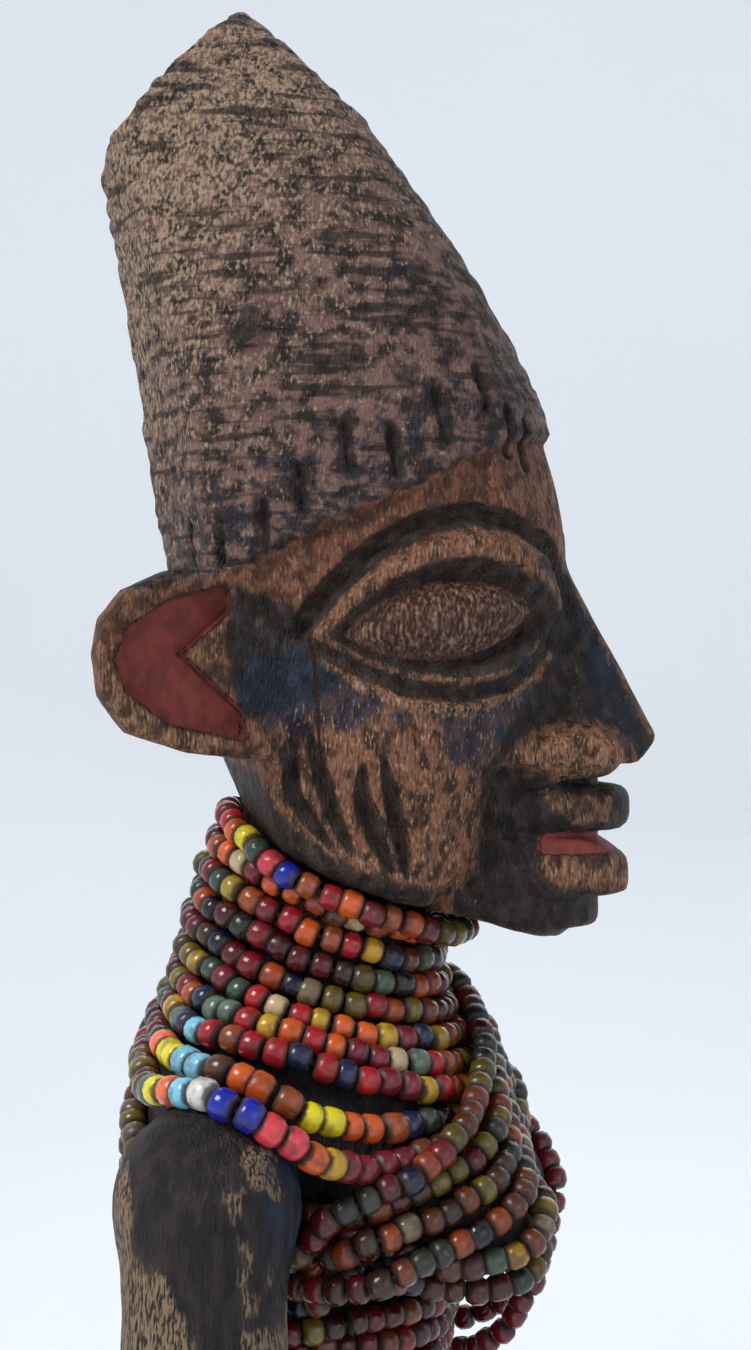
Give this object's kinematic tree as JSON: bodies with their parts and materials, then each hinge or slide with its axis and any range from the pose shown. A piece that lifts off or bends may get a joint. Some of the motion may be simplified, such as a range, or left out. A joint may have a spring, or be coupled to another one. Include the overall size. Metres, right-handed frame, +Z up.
{
  "type": "ibeji figure",
  "caption": "Carved standing twin figure with a tall pointed coiffure, large eyes and cheek marks, on a round base, hung with strings of small glass beads.",
  "frame": {"origin": "middle of the base's flat underside", "axes": "+Z up through the crown, the face looks toward -Y, the figure's left hand is at +X"},
  "size_m": [0.082, 0.0738, 0.3007],
  "materials": {
    "carved_wood": "old carved wood with worn paint and stain",
    "neck_beads": "glossy opaque glass, grimy",
    "sash_beads": "glossy opaque glass, grimy",
    "waist_beads": "glossy opaque glass, grimy",
    "hanging_beads": "glossy opaque glass"
  },
  "bodies": {
    "root": {"figure": "carved_wood", "neck_ring_01": "neck_beads", "neck_ring_02": "neck_beads", "neck_ring_03": "neck_beads", "neck_ring_04": "neck_beads", "neck_ring_05": "neck_beads", "neck_ring_06": "neck_beads", "neck_ring_07": "neck_beads", "neck_ring_08": "neck_beads", "neck_ring_09": "neck_beads", "neck_ring_10": "neck_beads", "sash_1": "sash_beads", "sash_2": "sash_beads", "sash_3": "sash_beads", "sash_4": "sash_beads", "sash_5": "sash_beads", "sash_6": "sash_beads", "waist_1": "waist_beads", "waist_2": "waist_beads", "waist_3": "waist_beads", "waist_4": "waist_beads", "hanging_1": "hanging_beads", "hanging_2": "hanging_beads"}
  },
  "joints": []
}
